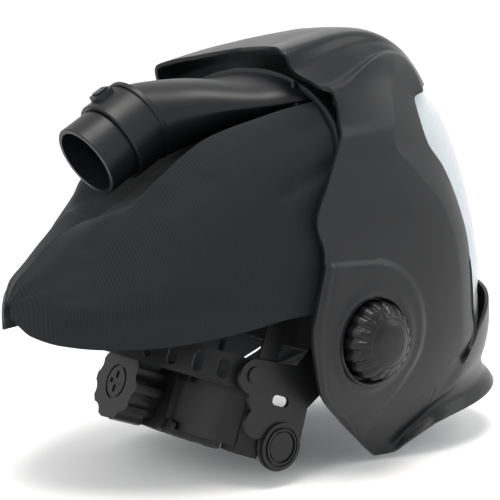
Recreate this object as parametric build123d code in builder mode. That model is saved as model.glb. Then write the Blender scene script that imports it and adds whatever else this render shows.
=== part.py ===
from build123d import *
import math
import os

# Headtop of a powered air respirator: helmet shell with visor, hood, air duct and headgear.
#
# Millimetres, +Z up, -Y the front (the way the wearer faces), +X the wearer's left.
# The origin is the middle of the wearer's head. The helmet stands half raised on its pivots
# and the headgear hangs nose-down, so the headgear has a tilted plane of its own.

os.makedirs("parts", exist_ok=True)

# Helmet form: (height, half width, front at the middle, front half length) for each level
FORM_LEVELS = [
    (-158, 84, -196, 110),
    (-134, 94, -214, 140),
    (-112, 103, -221, 150),
    (-90, 111, -213, 148),
    (-62, 117, -214, 150),
    (-20, 119, -207, 148),
    (30, 119, -194, 146),
    (75, 118, -176, 146),
    (120, 118, -146, 146),
    (185, 118, -86, 146),
]
FORM_POWER = 2.4          # exponent of the rounded front
FORM_REAR = 62            # the form runs on behind the shell, which is then trimmed
WALL = 3.0                # shell wall
CUT_HALF_WIDTH = 140      # side cuts reach past the helmet on both sides

# Crown: a barrel turned about a cross axis, given by (half width, radius)
CROWN_AXIS_Y = -45
CROWN_AXIS_Z = 10
CROWN_PROFILE = [(0, 164.5), (45, 160.5), (80, 149), (86, 141), (106, 121), (117, 96), (119, 80)]
CROWN_BASE_Z = 82         # below this height the side walls carry on straight down

# Rear and lower edge of the shell, as (Y, Z) from the crown down to the cheek
REAR_EDGE = [
    (34, 200), (34, 142), (31, 132), (13, 117), (12, 88), (35, 28), (28, 4), (37, -45),
    (26, -86), (-2, -114), (-24, -133), (-57, -152),
]
LOWER_EDGE = [(-72, -151), (-100, -138), (-150, -126), (-232, -112)]
BRIM_SCOOP_R = 156        # the brim's rear edge is scooped out in plan
BRIM_MIDDLE_Y = 9.4

# Seam between the shell and the chin guard, and the window's outline, as (Y, Z)
CHIN_SEAM = [
    (-24, -160), (-26, -131), (-43, -120), (-66, -111), (-90, -103), (-110, -91),
    (-130, -84), (-142, -76), (-160, -60), (-240, -46),
]
SEAM_GAP = 0.3
WINDOW = [
    (-62, 122), (-66, 112), (-77, 83), (-95, 66), (-117, 36), (-129, 5), (-132, -42),
    (-140, -66), (-150, -72),
]
WINDOW_FRONT = -240
WINDOW_TOP = 122
VISOR_MARGIN = 7          # how far the visor runs behind the shell all round
VISOR_T = 2.2

# Pivot of the helmet on the headgear
PIVOT_Y = -18.4
PIVOT_Z = -55.2
RECESS_R = 30.1
BOSS_R = 35
BOSS_X = 121.5            # outer face of the side boss
RECESS_FLOOR_X = 112
FLOOR_T = 3
BOLT_R = 4
BOLT_HOLE_R = 7.2         # hole in the shell that turns on the bolt's shoulder
SHOULDER_R = 6.9
SLIDER_FACE_X = 103.5
SHOULDER_X = 104
WASHER_R = 15
KNOB_R = 26
KNOB_FACE_X = 136
KNOB_LOBES = 18

# Headgear: pitched nose-down about the X axis
GEAR_PITCH = 20.1
GEAR_SIN = math.sin(math.radians(GEAR_PITCH))
GEAR_COS = math.cos(math.radians(GEAR_PITCH))
BAND_Y = -6               # middle of the head oval, in the headgear's plane
BAND_A = 86
BAND_B = 98
BAND_T = 2
NAPE_Y = -18              # middle of the nape oval
NAPE_A = 81
NAPE_B = 67
NAPE_Z = -122.4           # height of the nape band in the headgear's plane
NAPE_T = 9
PLATE_X = 88.4
PLATE_T = 3
HUB = (-2, -133.6)        # hub disc, in the headgear's plane
HUB_R = 16.5
FOREHEAD_SPAN = (-58, -30)    # lower and upper edge, in the headgear's plane
OCCIPITAL_SPAN = (-104, -82)
PAD_T = 6.7
STRAP_T = 1.8
STRAP_HALF_WIDTH = 8
# Straps over the head: (name, Y, top, drop of the ends)
CROWN_STRAPS = [("front_crown_strap", -40, 64, 35), ("rear_crown_strap", 26, 58, 90)]
PIVOT_G = (
    PIVOT_Y * GEAR_COS + PIVOT_Z * GEAR_SIN,
    -PIVOT_Y * GEAR_SIN + PIVOT_Z * GEAR_COS,
)

# Ratchet
GEAR_MODULE = 1.5
PINION_TEETH = 10
PINION_R = GEAR_MODULE * PINION_TEETH / 2
TOOTH_PITCH = math.pi * GEAR_MODULE
TOOTH_SHARE = 0.40        # tooth thickness over pitch, which leaves backlash
RATCHET_Y = 58.5          # back face of the nape housing, where the knob starts
RATCHET_DEPTH = 24
RATCHET_R = 27
RATCHET_LOBES = 10
GEARBOX_Y = 51            # front of the hollow that holds pinion and racks
GEARBOX_DEPTH = 5.4
SPINDLE_R = 4.95
HOUSING_HALF_HEIGHT = 24
HOUSING_WIDTH = 72
RACK_L = 38

# Air duct and hose spigot; the spigot points back and down
SPIGOT_END = (0, 141.2, 68.1)
SPIGOT_PITCH = 34.3
SPIGOT_R = 26.8
SPIGOT_BORE_R = 23.5
SPIGOT_L = 24
SPIGOT_FREE_L = 22.4      # the length that the hose slides over
SPIGOT_TAIL_L = 24.7      # the slimmer length inside the collar
COLLAR_R = 30
COLLAR_L = 25
LATCH_ALONG = 37          # latch button, measured back from the spigot's end
LATCH_SEAT = 28.6         # foot of the latch spring, measured from the spigot's axis
LATCH_SPRING_L = 2.6
LATCH_BUTTON_L = 2.8
DUCT_T = 2.5
DUCT_START = 49           # how far in from the spigot's end the duct begins
# Duct sections: (Y, Z, lean, half width, half height)
DUCT_STATIONS = [
    (72, 101, 0.35 / 0.92, 42, 26),
    (35, 106, 0.12, 66, 17),
    (-8, 112, 0.1, 80, 13),
    (-50, 116, 0.1, 82, 12),
]
# Side view of the line where the duct's two halves meet, closed below
DUCT_PARTING = [(160, 40), (92, 83), (72, 100.8), (35, 105.8), (-8, 111.8), (-90, 119.8),
                (-90, 20)]

# Hood, as (Y, half width, shoulder height, middle height, bottom) at each station
HOOD_STATIONS = [
    (6, 103, 92, 90, -34), (45, 106, 88, 80, -38), (85, 104, 80, 58, -44),
    (112, 99, 66, 42, -48), (140, 86, 42, 30, -50), (168, 70, 17, 12, -49),
    (190, 48, -6, -5, -41), (203, 22, -16, -15, -28),
]
HOOD_T = 2
HOOD_OPEN = 12            # the hood's inside runs on below it, which leaves it open
# Side view of the hem's band, as (Y, Z)
HEM_OUTLINE = [(6, -60), (6, -26), (85, -38), (140, -43), (168, -42), (190, -36), (210, -20),
               (210, -60)]
# Side view of the arch that the hood hangs from
SEAL_ARCH = [(14, 200), (14, 120), (-2, 60), (-2, 6), (-16, 6), (-16, 200)]


def save(builder, name):
    """Label a finished piece and write it out."""
    builder.part.label = name
    export_step(builder.part, "parts/" + name + ".step")


def gear_plane(height=0.0):
    """Level plane of the headgear at a height above its middle."""
    plane = Plane(origin=(0, 0, 0), x_dir=(1, 0, 0), z_dir=(0, -GEAR_SIN, GEAR_COS))
    return plane.offset(height)


def plate_plane(x):
    """Side plane of the headgear: X is its rearward axis, Y its upward axis."""
    return Plane(origin=(x, 0, 0), x_dir=(0, GEAR_COS, GEAR_SIN), z_dir=(1, 0, 0))


def nape_plane(depth):
    """Plane across the headgear's back: X to the left, Y down, facing the rear."""
    origin = (0, depth * GEAR_COS - NAPE_Z * GEAR_SIN, depth * GEAR_SIN + NAPE_Z * GEAR_COS)
    return Plane(origin=origin, x_dir=(1, 0, 0), z_dir=(0, GEAR_COS, GEAR_SIN))


def cross_plane(x):
    """Plane across X with Y to the rear and Z up."""
    return Plane(origin=(x, 0, 0), x_dir=(0, 1, 0), z_dir=(1, 0, 0))


def spigot_plane(along):
    """Plane across the spigot, measured back from its open end."""
    pitch = math.radians(SPIGOT_PITCH)
    out = Vector(0, math.cos(pitch), -math.sin(pitch))
    return Plane(origin=Vector(*SPIGOT_END) - out * along, x_dir=(1, 0, 0), z_dir=out)


def front_curve(level, inset):
    """Points of one level's rounded front, from the right side round to the left."""
    height, half_width, front, length = level
    wide = half_width - inset
    deep = length - inset
    middle = front + length
    points = []
    for step in range(0, 13):
        angle = math.pi * step / 12
        cos_part = abs(math.cos(angle)) ** (2 / FORM_POWER)
        sin_part = abs(math.sin(angle)) ** (2 / FORM_POWER)
        side = -1 if angle < math.pi / 2 else 1
        points.append((side * wide * cos_part, middle - deep * sin_part))
    return points


def helmet_form(inset):
    """The helmet's solid outer form, set in by a distance."""
    profile = [(x - inset * (x > 100), r - inset) for x, r in CROWN_PROFILE]
    edge = [(-x, r) for x, r in reversed(profile)] + profile[1:]
    with BuildPart() as crown:
        with BuildSketch(Plane(origin=(0, CROWN_AXIS_Y, CROWN_AXIS_Z), x_dir=(1, 0, 0),
                               z_dir=(0, -1, 0))):
            with BuildLine():
                Polyline(*edge, (edge[-1][0], 0), (edge[0][0], 0), close=True)
            make_face()
        revolve(axis=Axis((0, CROWN_AXIS_Y, CROWN_AXIS_Z), (1, 0, 0)), revolution_arc=360)
        with BuildSketch(Plane.XY.offset(-170)):
            with Locations((0, -80)):
                Rectangle(2 * (119 - inset), 400)
        extrude(amount=170 + CROWN_BASE_Z)
    with BuildPart() as form:
        for level in FORM_LEVELS:
            with BuildSketch(Plane.XY.offset(level[0])):
                with BuildLine():
                    points = front_curve(level, inset)
                    Spline(*points, tangents=[(0, -1), (0, 1)])
                    Polyline(points[-1], (points[-1][0], FORM_REAR), (points[0][0], FORM_REAR),
                             points[0])
                make_face()
        loft(ruled=True)
        add(crown.part, mode=Mode.INTERSECT)
    return form.part


def side_cut(points, half_width=CUT_HALF_WIDTH):
    """A solid right across the helmet with the given (Y, Z) outline."""
    with BuildPart() as cut:
        with BuildSketch(cross_plane(0)):
            with BuildLine():
                Polyline(*points, close=True)
            make_face()
        extrude(amount=half_width, both=True)
    return cut.part


def window_cut(margin):
    """The window's space, grown by a margin."""
    with BuildPart() as cut:
        with BuildSketch(cross_plane(0)):
            with BuildLine():
                Polyline((WINDOW_FRONT, WINDOW_TOP), *WINDOW, (WINDOW_FRONT, WINDOW[-1][1]),
                         close=True)
            make_face()
            if margin:
                offset(amount=margin, kind=Kind.ARC)
        extrude(amount=CUT_HALF_WIDTH, both=True)
    return cut.part


def shell_outline():
    """The side view of shell and chin guard together."""
    return side_cut(REAR_EDGE + LOWER_EDGE + [(-240, -110), (-240, 200)])


def chin_outline(gap):
    """The side view of what lies below the seam, lowered by a gap."""
    seam = [(y, z - gap) for y, z in CHIN_SEAM]
    return side_cut(seam + [(-240, -175), (-24, -175)])


FORM_OUTER = helmet_form(0)
FORM_INNER = helmet_form(WALL)
SHELL_OUTLINE = shell_outline()


def make_shell():
    with BuildPart() as helmet_shell:
        add(FORM_OUTER)
        add(SHELL_OUTLINE, mode=Mode.INTERSECT)
        for side in (-1, 1):
            with BuildSketch(cross_plane(side * (RECESS_FLOOR_X - FLOOR_T))):
                with Locations((PIVOT_Y, PIVOT_Z)):
                    Circle(BOSS_R)
            extrude(amount=side * (BOSS_X - RECESS_FLOOR_X + FLOOR_T))
        add(FORM_INNER, mode=Mode.SUBTRACT)
        for side in (-1, 1):
            with BuildSketch(cross_plane(side * (RECESS_FLOOR_X - FLOOR_T))):
                with Locations((PIVOT_Y, PIVOT_Z)):
                    Circle(BOSS_R)
            extrude(amount=side * (FLOOR_T + 5))
            with BuildSketch(cross_plane(side * RECESS_FLOOR_X)):
                with Locations((PIVOT_Y, PIVOT_Z)):
                    Circle(RECESS_R)
            extrude(amount=side * 40, mode=Mode.SUBTRACT)
            with BuildSketch(cross_plane(side * 90)):
                with Locations((PIVOT_Y, PIVOT_Z)):
                    Circle(BOLT_HOLE_R)
            extrude(amount=side * 40, mode=Mode.SUBTRACT)
        add(window_cut(0), mode=Mode.SUBTRACT)
        add(chin_outline(-SEAM_GAP / 2), mode=Mode.SUBTRACT)
        with BuildSketch(Plane.XY.offset(126)):
            with Locations((0, BRIM_MIDDLE_Y + BRIM_SCOOP_R)):
                Circle(BRIM_SCOOP_R)
        extrude(amount=80, mode=Mode.SUBTRACT)
    save(helmet_shell, "helmet_shell")


def formed_sheet(near, far, trims):
    """A sheet that follows the helmet's form between two insets, trimmed by solids."""
    with BuildPart() as sheet:
        add(helmet_form(near))
        for trim in trims:
            add(trim, mode=Mode.INTERSECT)
        add(helmet_form(far), mode=Mode.SUBTRACT)
    return sheet


def make_visor():
    outer = WALL + 0.4
    inner = outer + VISOR_T
    margin = window_cut(VISOR_MARGIN)
    visor = formed_sheet(outer, inner, [margin])
    save(visor, "visor")
    with BuildPart() as visor_gasket:
        add(formed_sheet(inner + 0.2, inner + 2, [margin]).part)
        add(window_cut(0), mode=Mode.SUBTRACT)
    save(visor_gasket, "visor_gasket")
    with BuildPart() as visor_frame:
        add(formed_sheet(inner + 2.2, inner + 5, [margin]).part)
        add(window_cut(-1), mode=Mode.SUBTRACT)
    save(visor_frame, "visor_frame")


def make_chin():
    below = chin_outline(SEAM_GAP / 2)
    with BuildPart() as chin_guard:
        add(FORM_OUTER)
        add(SHELL_OUTLINE, mode=Mode.INTERSECT)
        add(below, mode=Mode.INTERSECT)
        add(FORM_INNER, mode=Mode.SUBTRACT)
    save(chin_guard, "chin_guard")
    with BuildPart() as chin_lip:
        add(formed_sheet(WALL + 0.3, WALL + 2.3, [below]).part)
        strip = [(y, z - 4) for y, z in LOWER_EDGE]
        strip = strip + [(y, z + 8) for y, z in reversed(LOWER_EDGE)]
        add(side_cut(strip), mode=Mode.INTERSECT)
    save(chin_lip, "chin_lip")


def make_seal_frame():
    """Arch inside the crown that the hood hangs from."""
    frame = formed_sheet(WALL + 7, WALL + 10, [side_cut(SEAL_ARCH)])
    save(frame, "seal_frame")
    with BuildPart() as frame_clips:
        for x in (-78, -26, 26, 78):
            drop = 0.0009 * x * x
            with BuildSketch(cross_plane(x - 3)):
                with Locations((2, 147.5 - 14 * drop / 5)):
                    Rectangle(9, 8)
            extrude(amount=6)
    save(frame_clips, "frame_clips")


def ellipse_point(a, b, middle_y, x):
    """Rear half of an oval: its Y at a given X."""
    return middle_y + b * math.sqrt(max(0.0, 1 - (x / a) ** 2))


def oval_band(low, high, inner, thick, middle_y, y_from, y_to):
    """Part of an oval band of the headgear between two Y values."""
    with BuildPart() as band:
        with BuildSketch(gear_plane(low)):
            with Locations((0, middle_y)):
                Ellipse(inner[0] + thick, inner[1] + thick)
                Ellipse(inner[0], inner[1], mode=Mode.SUBTRACT)
            with Locations((0, (y_from + y_to) / 2)):
                Rectangle(300, y_to - y_from, mode=Mode.INTERSECT)
        extrude(amount=high - low)
    return band


def make_forehead():
    low, high = FOREHEAD_SPAN
    band = oval_band(low, high, (BAND_A, BAND_B), BAND_T, BAND_Y, -120, -30)
    save(band, "forehead_band")
    room = PAD_T + 0.3
    pad = oval_band(low - 2, high + 2, (BAND_A - room, BAND_B - room), PAD_T, BAND_Y, -120, -40)
    save(pad, "sweatband")


def slot_angles():
    """Angles of the oval slots, from straight back towards each side."""
    return [side * (9 + 11 * step) for side in (-1, 1) for step in range(5)]


def make_occipital():
    with BuildPart() as occipital_strap:
        low, high = OCCIPITAL_SPAN
        band = oval_band(low, high, (BAND_A, BAND_B), BAND_T, BAND_Y, 12, 120)
        add(band.part)
        middle = gear_plane((low + high) / 2)
        for angle in slot_angles():
            turn = math.radians(angle)
            across = middle.x_dir * math.sin(turn) + middle.y_dir * math.cos(turn)
            centre = middle.origin + middle.y_dir * BAND_Y
            plane = Plane(origin=centre + across * 70, x_dir=middle.z_dir, z_dir=across)
            with BuildSketch(plane):
                SlotOverall(14, 7)
            extrude(amount=50, mode=Mode.SUBTRACT)
    save(occipital_strap, "occipital_strap")


def make_crown_straps():
    """Two straps over the head, from side plate to side plate."""
    wide = PLATE_X - 0.3
    for name, y_mid, top, drop in CROWN_STRAPS:
        with BuildPart() as strap:
            plane = Plane(origin=gear_plane(0).from_local_coords((0, y_mid, 0)),
                          x_dir=(1, 0, 0), z_dir=-gear_plane(0).y_dir)
            with BuildSketch(plane):
                Ellipse(wide, top)
                Ellipse(wide - STRAP_T, top - STRAP_T, mode=Mode.SUBTRACT)
                with Locations((0, 100)):
                    Rectangle(300, 200, mode=Mode.INTERSECT)
                for side in (-1, 1):
                    with Locations((side * (wide - STRAP_T / 2), -drop / 2)):
                        Rectangle(STRAP_T, drop + 0.2)
            extrude(amount=STRAP_HALF_WIDTH, both=True)
        save(strap, name)
    with BuildPart() as crown_buckle:
        with BuildSketch(gear_plane(64.3)):
            with Locations((0, -4)):
                RectangleRounded(20, 78, 8)
        extrude(amount=3)
    save(crown_buckle, "crown_buckle")


def plate_outline():
    """The side plate: hub, temple arm, rear arm and nape arm, in the side plane."""
    arms = [
        (HUB, 17.5, (-4, -100), 13),
        ((-4, -100), 13, PIVOT_G, 19),
        ((0, -92), 15, (36, -93), 12),
        ((6, -110), 12, (22, -122), 11),
        ((0, -104), 16, (22, -104), 14),
    ]
    with BuildSketch() as outline:
        for start, start_r, end, end_r in arms:
            with BuildSketch(mode=Mode.PRIVATE) as arm:
                with Locations(start):
                    Circle(start_r)
                with Locations(end):
                    Circle(end_r)
                make_hull()
            add(arm.sketch)
    return outline.sketch


def make_side_plate(side, name):
    with BuildPart() as plate:
        with BuildSketch(plate_plane(side * PLATE_X)):
            add(plate_outline())
        extrude(amount=side * PLATE_T)
        with BuildSketch(plate_plane(side * (PLATE_X + PLATE_T))):
            with Locations((34, -92)):
                SlotOverall(16, 11)
        extrude(amount=side * 1.4)
        with BuildSketch(plate_plane(side * (PLATE_X - 1))):
            with Locations(PIVOT_G):
                SlotOverall(27, 11)
            with Locations((8, -104)):
                SlotOverall(15, 7)
        extrude(amount=side * (PLATE_T + 2), mode=Mode.SUBTRACT)
    save(plate, "side_plate_" + name)
    with BuildPart() as hub:
        with BuildSketch(plate_plane(side * (PLATE_X + PLATE_T))):
            with Locations(HUB):
                Circle(HUB_R)
        extrude(amount=side * 2.2)
        with BuildSketch(plate_plane(side * (PLATE_X + PLATE_T + 1))):
            with Locations(HUB):
                Circle(14)
                Circle(10, mode=Mode.SUBTRACT)
        extrude(amount=side * 3, mode=Mode.SUBTRACT)
        with BuildSketch(plate_plane(side * (PLATE_X + PLATE_T + 1))):
            with Locations(HUB):
                Circle(12.8)
                Circle(11.2, mode=Mode.SUBTRACT)
        extrude(amount=side * 2)
        chamfer(hub.edges().sort_by(Axis.X)[-1 if side > 0 else 0], 0.4)
    save(hub, "hub_disc_" + name)


def make_carriage(side, name):
    """Slider block, bolt and friction washer that carry the helmet on one side."""
    face = PLATE_X + PLATE_T
    with BuildPart() as slider_block:
        with BuildSketch(plate_plane(side * (face + 0.2))):
            with Locations(PIVOT_G):
                RectangleRounded(34, 22, 6)
        extrude(amount=side * (SLIDER_FACE_X - face - 0.2))
        with BuildSketch(plate_plane(side * (PLATE_X + 0.1))):
            with Locations(PIVOT_G):
                SlotOverall(14, 10.4)
        extrude(amount=side * (PLATE_T + 0.2))
        with BuildSketch(plate_plane(side * (PLATE_X - 2))):
            with Locations(PIVOT_G):
                Circle(BOLT_R)
        extrude(amount=side * 30, mode=Mode.SUBTRACT)
    save(slider_block, "slider_block_" + name)
    with BuildPart() as pivot_bolt:
        with BuildSketch(cross_plane(side * (PLATE_X - 2.6))):
            with Locations((PIVOT_Y, PIVOT_Z)):
                Circle(8)
        extrude(amount=side * 2.5)
        with BuildSketch(cross_plane(side * (PLATE_X - 1))):
            with Locations((PIVOT_Y, PIVOT_Z)):
                Circle(BOLT_R)
        extrude(amount=side * (128 - PLATE_X))
        with BuildSketch(cross_plane(side * SHOULDER_X)):
            with Locations((PIVOT_Y, PIVOT_Z)):
                Circle(SHOULDER_R)
        extrude(amount=side * (RECESS_FLOOR_X + 0.4 - SHOULDER_X))
    save(pivot_bolt, "pivot_bolt_" + name)
    with BuildPart() as friction_washer:
        with BuildSketch(cross_plane(side * (SLIDER_FACE_X + 0.3))):
            with Locations((PIVOT_Y, PIVOT_Z)):
                Circle(WASHER_R)
                Circle(BOLT_R + 3, mode=Mode.SUBTRACT)
        extrude(amount=side * (RECESS_FLOOR_X - FLOOR_T - 0.6 - SLIDER_FACE_X))
    save(friction_washer, "friction_washer_" + name)


def make_knob(side, name):
    base = RECESS_FLOOR_X + 0.5
    with BuildPart() as tension_knob:
        with BuildSketch(cross_plane(side * base)):
            with Locations((PIVOT_Y, PIVOT_Z)):
                Circle(KNOB_R)
                with PolarLocations(KNOB_R + 2.2, KNOB_LOBES):
                    Circle(3.6, mode=Mode.SUBTRACT)
        extrude(amount=side * (KNOB_FACE_X - base))
        top = tension_knob.faces().sort_by(Axis.X)[-1 if side > 0 else 0]
        fillet(top.edges(), 1.2)
        with BuildSketch(cross_plane(side * base)):
            with Locations((PIVOT_Y, PIVOT_Z)):
                Circle(6.5)
        extrude(amount=side * 17, mode=Mode.SUBTRACT)
    save(tension_knob, "tension_knob_" + name)
    with BuildPart() as knob_insert:
        with BuildSketch(cross_plane(side * (base + 0.2))):
            with Locations((PIVOT_Y, PIVOT_Z)):
                Circle(6.45)
                Circle(BOLT_R + 0.1, mode=Mode.SUBTRACT)
        extrude(amount=side * 16)
    save(knob_insert, "knob_insert_" + name)


def make_nape():
    low = NAPE_Z - HOUSING_HALF_HEIGHT
    high = NAPE_Z + HOUSING_HALF_HEIGHT
    with BuildPart() as nape_housing:
        wings = oval_band(low + 4, high - 4, (NAPE_A, NAPE_B), NAPE_T, NAPE_Y, 24, 90)
        add(wings.part)
        with BuildSketch(nape_plane(NAPE_Y + NAPE_B + 0.2)):
            RectangleRounded(HOUSING_WIDTH, 2 * HOUSING_HALF_HEIGHT, 9)
        extrude(amount=RATCHET_Y - (NAPE_Y + NAPE_B) - 0.7)
        with BuildSketch(nape_plane(GEARBOX_Y)):
            Rectangle(66, 30)
        extrude(amount=GEARBOX_DEPTH, mode=Mode.SUBTRACT)
        with BuildSketch(nape_plane(GEARBOX_Y)):
            Circle(5.2)
        extrude(amount=20, mode=Mode.SUBTRACT)
    save(nape_housing, "nape_housing")
    for side, name in ((-1, "right"), (1, "left")):
        with BuildPart() as end_cap:
            cap = oval_band(low, high, (NAPE_A - 1.5, NAPE_B - 1.5), NAPE_T + 3, NAPE_Y, 10, 23.7)
            add(cap.part)
            with BuildSketch(Plane.YZ.offset(side * 40)):
                Rectangle(600, 600)
            extrude(amount=side * 100, mode=Mode.INTERSECT)
        save(end_cap, "end_cap_" + name)
        with BuildPart() as nape_band:
            band = oval_band(NAPE_Z - 9, NAPE_Z + 9, (NAPE_A + 5.2, NAPE_B + 5), 1.9, NAPE_Y,
                             -12, 9.7)
            add(band.part)
            with BuildSketch(Plane.YZ.offset(side * 40)):
                Rectangle(600, 600)
            extrude(amount=side * 100, mode=Mode.INTERSECT)
            for step in range(5):
                with BuildSketch(plate_plane(side * 70)):
                    with Locations((-3 + 2.4 * step, NAPE_Z)):
                        Rectangle(1.2, 5)
                extrude(amount=side * 40, mode=Mode.SUBTRACT)
        save(nape_band, "nape_band_" + name)
    pad = oval_band(low - 2, high - 8, (NAPE_A - 9, NAPE_B - 9), 8.7, NAPE_Y, 24.3, 90)
    save(pad, "nape_pad")


def make_pinion():
    """Ratchet knob and the pinion on its spindle."""
    root_r = PINION_R - 1.25 * GEAR_MODULE
    tip_r = PINION_R + 0.85 * GEAR_MODULE
    pitch_half = TOOTH_SHARE * TOOTH_PITCH / 2
    with BuildPart() as ratchet_pinion:
        with BuildSketch(nape_plane(GEARBOX_Y + 0.3)):
            Circle(root_r)
        extrude(amount=GEARBOX_DEPTH - 0.6)
        with BuildSketch(nape_plane(GEARBOX_Y + 0.3)):
            with PolarLocations(0, PINION_TEETH):
                with BuildLine():
                    Polyline((root_r - 1, -pitch_half - 0.45), (PINION_R, -pitch_half),
                             (tip_r, -pitch_half + 0.5), (tip_r, pitch_half - 0.5),
                             (PINION_R, pitch_half), (root_r - 1, pitch_half + 0.45), close=True)
                make_face()
        extrude(amount=GEARBOX_DEPTH - 0.6)
        with BuildSketch(nape_plane(GEARBOX_Y + 1)):
            Circle(SPINDLE_R)
        extrude(amount=RATCHET_Y + 10 - GEARBOX_Y - 1)
    save(ratchet_pinion, "ratchet_pinion")
    with BuildPart() as ratchet_knob:
        with BuildSketch(nape_plane(RATCHET_Y)):
            Circle(RATCHET_R)
            with PolarLocations(RATCHET_R + 5.5, RATCHET_LOBES, start_angle=18):
                Circle(8.2, mode=Mode.SUBTRACT)
        extrude(amount=RATCHET_DEPTH)
        with BuildSketch(nape_plane(RATCHET_Y + RATCHET_DEPTH - 1)):
            Circle(12.6)
            Circle(10.8, mode=Mode.SUBTRACT)
            Rectangle(15, 3.4)
            with Locations((0, 5)):
                Rectangle(3.4, 5)
            with Locations((0, -5)):
                Rectangle(3.4, 5)
        extrude(amount=2, mode=Mode.SUBTRACT)
        with BuildSketch(nape_plane(RATCHET_Y - 1)):
            Circle(SPINDLE_R)
        extrude(amount=12, mode=Mode.SUBTRACT)
    save(ratchet_knob, "ratchet_knob")


def make_rack(way, name):
    """Toothed end of one nape band; way is +1 above the pinion and -1 below it."""
    half = TOOTH_SHARE * TOOTH_PITCH / 2
    with BuildPart() as rack:
        with BuildSketch(nape_plane(GEARBOX_Y + 0.4)):
            pitch_line = -way * PINION_R
            with Locations((0, pitch_line - way * 3.6)):
                Rectangle(RACK_L, 4.2)
            for tooth in range(-3, 4):
                middle = (tooth + 0.5) * TOOTH_PITCH
                with BuildLine():
                    Polyline(
                        (middle - half - 0.6, pitch_line - way * 1.8),
                        (middle - half + 0.4, pitch_line + way * 1.2),
                        (middle + half - 0.4, pitch_line + way * 1.2),
                        (middle + half + 0.6, pitch_line - way * 1.8), close=True)
                make_face()
        extrude(amount=GEARBOX_DEPTH - 0.8)
    save(rack, name)


def make_strap_clips():
    """Clips that hold the straps' ends on the nape housing."""
    with BuildPart() as strap_clips:
        for x, z in ((-40, 18), (40, 18), (-38, -19), (38, -19)):
            y = ellipse_point(NAPE_A + NAPE_T, NAPE_B + NAPE_T, NAPE_Y, abs(x) - 5.5)
            with BuildSketch(nape_plane(y + 0.4)):
                with Locations((x, -z)):
                    RectangleRounded(11, 9, 2)
            extrude(amount=3)
    save(strap_clips, "strap_clips")


def duct_form(inset):
    """The duct's outer form, set in: round at the collar and wide and flat in front."""
    with BuildPart() as tube:
        with BuildSketch(spigot_plane(DUCT_START)):
            Circle(COLLAR_R - inset)
        for y, z, lean, half_width, half_height in DUCT_STATIONS:
            plane = Plane(origin=(0, y, z), x_dir=(1, 0, 0), z_dir=(0, 1, -lean))
            with BuildSketch(plane):
                Ellipse(half_width - inset, half_height - inset)
        loft()
    return tube.part


def make_duct():
    """Air duct from the collar forward under the brim, in an upper and a lower half."""
    for name, mode in (("duct_cover", Mode.SUBTRACT), ("duct_floor", Mode.INTERSECT)):
        with BuildPart() as half:
            add(duct_form(0))
            add(duct_form(DUCT_T), mode=Mode.SUBTRACT)
            add(side_cut(DUCT_PARTING), mode=mode)
        save(half, name)


def make_outlet():
    """Grille in the duct's front end and the slider that shuts its slots."""
    for name, y, slot_wide in (("air_outlet", -53.2, 9), ("air_deflector", -56, 8)):
        with BuildPart() as grille:
            with BuildSketch(Plane(origin=(0, y, 116.3), x_dir=(1, 0, 0), z_dir=(0, 1, -0.1))):
                if name == "air_outlet":
                    Ellipse(82, 12)
                else:
                    RectangleRounded(126, 13, 3)
                with GridLocations(14, 0, 9, 1):
                    Rectangle(slot_wide - 2, 9, mode=Mode.SUBTRACT)
            extrude(amount=2.4)
        save(grille, name)
    with BuildPart() as duct_brackets:
        for x in (-52, 52):
            with BuildSketch(Plane.XY.offset(126.5)):
                with Locations((x, -6)):
                    RectangleRounded(14, 16, 3)
            extrude(amount=21)
    save(duct_brackets, "duct_brackets")


def make_swivel():
    """Hose spigot, the collar round it and the seal ring that runs in the duct."""
    with BuildPart() as hose_spigot:
        with BuildSketch(spigot_plane(0)):
            Circle(SPIGOT_R)
        extrude(amount=-SPIGOT_FREE_L)
        with BuildSketch(spigot_plane(SPIGOT_FREE_L - 0.1)):
            Circle(SPIGOT_R - 0.5)
        extrude(amount=-SPIGOT_TAIL_L)
        with BuildSketch(spigot_plane(46.9)):
            Circle(26)
        extrude(amount=-5)
        with BuildSketch(spigot_plane(-1)):
            Circle(SPIGOT_BORE_R)
        extrude(amount=-60, mode=Mode.SUBTRACT)
        mouth = hose_spigot.edges().filter_by(GeomType.CIRCLE).sort_by(Axis.Y)[-1]
        chamfer(mouth, 0.6)
    save(hose_spigot, "hose_spigot")
    with BuildPart() as duct_collar:
        with BuildSketch(spigot_plane(SPIGOT_L - 0.6)):
            Circle(COLLAR_R)
        extrude(amount=-COLLAR_L)
        groove = duct_collar.edges().filter_by(GeomType.CIRCLE).sort_by(Axis.Y)[-1]
        chamfer(groove, 1)
        with BuildSketch(latch_plane(27)):
            RectangleRounded(13, 15, 3)
        extrude(amount=6)
        with BuildSketch(spigot_plane(0)):
            Circle(SPIGOT_R + 0.2)
        extrude(amount=-60, mode=Mode.SUBTRACT)
        with BuildSketch(latch_plane(28.2)):
            RectangleRounded(8.6, 10.6, 2)
        extrude(amount=10, mode=Mode.SUBTRACT)
    save(duct_collar, "duct_collar")
    with BuildPart() as swivel_seal:
        with BuildSketch(spigot_plane(49.4)):
            Circle(26.7)
            Circle(26.1, mode=Mode.SUBTRACT)
        extrude(amount=-1.4)
    save(swivel_seal, "swivel_seal")


def latch_plane(radius):
    """Plane on top of the collar at a distance from the spigot's axis, facing outwards."""
    across = spigot_plane(LATCH_ALONG)
    up = Vector(0, -across.z_dir.Z, across.z_dir.Y)
    return Plane(origin=across.origin + up * radius, x_dir=(1, 0, 0), z_dir=up)


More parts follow.
